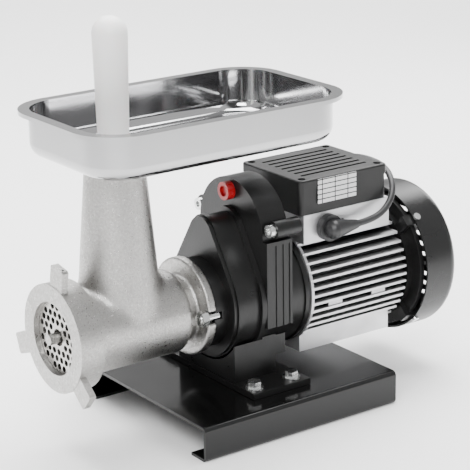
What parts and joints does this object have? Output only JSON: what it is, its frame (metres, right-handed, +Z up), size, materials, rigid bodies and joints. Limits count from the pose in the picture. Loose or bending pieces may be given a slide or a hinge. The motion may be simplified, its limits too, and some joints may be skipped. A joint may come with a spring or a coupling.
{
  "type": "electric meat grinder",
  "caption": "Bench-top electric meat grinder: finned motor, spur gearbox, cast grinding head with ring nut and hole plate, steel feed tray and pusher on a channel base.",
  "frame": {"origin": "on the table, under the middle of the machine's length and width, without the loose cord", "axes": "+X along the drive axis from the ring nut to the motor, +Z up, +Y away from the cord's side"},
  "size_m": [0.464, 0.3735, 0.428],
  "materials": {
    "base_paint": "gloss black powder coat",
    "gearbox_paint": "semi-gloss black enamel on casting",
    "red_plastic": "moulded",
    "zinc": "bright zinc plate",
    "tinned_casting": "hot tinned over a sand casting",
    "ring_casting": "tinned, turned on its face",
    "plate_steel": "ground",
    "stainless": "polished",
    "pusher_plastic": "satin white polyethylene",
    "shaft_steel": "turned",
    "gear_steel": "cut and oiled",
    "seal_rubber": "moulded",
    "bearing_steel": "ground",
    "raw_aluminium": "raw die casting",
    "lamination": "stacked sheet",
    "copper": "varnished winding",
    "fan_cover_paint": "satin black",
    "black_plastic": "fine moulded grain",
    "capacitor_case": "moulded",
    "label_foil": "blank foil with a black border",
    "rocker_plastic": "polished",
    "cord_rubber": "matt",
    "pin_brass": "nickel plated"
  },
  "bodies": {
    "machine": {"base_channel": "base_paint", "gearbox_housing": "gearbox_paint", "gearbox_cover": "gearbox_paint", "oil_plug": "red_plastic", "tie_bolts": "zinc", "foot_bolts": "zinc", "clamp_studs": "zinc", "fan_cover_screws": "zinc", "terminal_lid_screws": "zinc", "grinder_body": "tinned_casting", "hole_plate": "plate_steel", "output_seal": "seal_rubber", "output_front_bearing": "bearing_steel", "output_rear_bearing": "bearing_steel", "countershaft_bearings": "bearing_steel", "motor_bearings": "bearing_steel", "motor_front_bell": "gearbox_paint", "motor_housing": "raw_aluminium", "motor_rear_bell": "gearbox_paint", "stator_core": "lamination", "stator_windings": "copper", "fan_cover": "fan_cover_paint", "terminal_box": "black_plastic", "terminal_box_lid": "black_plastic", "run_capacitor": "capacitor_case", "terminal_block": "pusher_plastic", "rating_plate": "label_foil", "switch_frame": "black_plastic", "cord_boot": "cord_rubber", "mains_cord": "cord_rubber", "cord_coil": "cord_rubber", "mains_plug": "cord_rubber", "plug_pins": "pin_brass"},
    "drive_line": {"auger": "tinned_casting", "knife": "plate_steel", "output_shaft": "shaft_steel", "output_gear": "gear_steel"},
    "countershaft_group": {"countershaft": "gear_steel", "countershaft_gear": "gear_steel"},
    "rotor": {"rotor_shaft": "shaft_steel", "rotor_core": "lamination", "cooling_fan": "black_plastic"},
    "ring": {"ring_nut": "ring_casting"},
    "tray": {"feed_tray": "stainless"},
    "stomper": {"pusher": "pusher_plastic"},
    "rocker_switch": {"rocker": "rocker_plastic"}
  },
  "joints": [
    {"name": "drive_spin", "type": "hinge", "parent": "machine", "child": "drive_line", "pos_m": [-0.06, 0, 0.119], "axis": [1, 0, 0], "continuous": true},
    {"name": "countershaft_spin", "type": "hinge", "parent": "machine", "child": "countershaft_group", "pos_m": [0, 0, 0.189], "axis": [1, 0, 0], "continuous": true},
    {"name": "rotor_spin", "type": "hinge", "parent": "machine", "child": "rotor", "pos_m": [0.1, 0, 0.119], "axis": [1, 0, 0], "continuous": true},
    {"name": "ring_unscrew", "type": "hinge", "parent": "machine", "child": "ring", "pos_m": [-0.21, 0, 0.119], "axis": [-1, 0, 0], "range_deg": [0, 720]},
    {"name": "tray_lift", "type": "slide", "parent": "machine", "child": "tray", "axis": [0, 0, 1], "range_m": [0, 0.06]},
    {"name": "pusher_lift", "type": "slide", "parent": "machine", "child": "stomper", "axis": [0, 0, 1], "range_m": [0, 0.15]},
    {"name": "rocker_tilt", "type": "hinge", "parent": "machine", "child": "rocker_switch", "pos_m": [0.097, 0.046, 0.2175], "axis": [1, 0, 0], "range_deg": [-9, 9]}
  ],
  "couplings": [
    {"joint": "countershaft_spin", "follows": "drive_spin", "ratio": -3.375},
    {"joint": "rotor_spin", "follows": "drive_spin", "ratio": 8.6786}
  ]
}
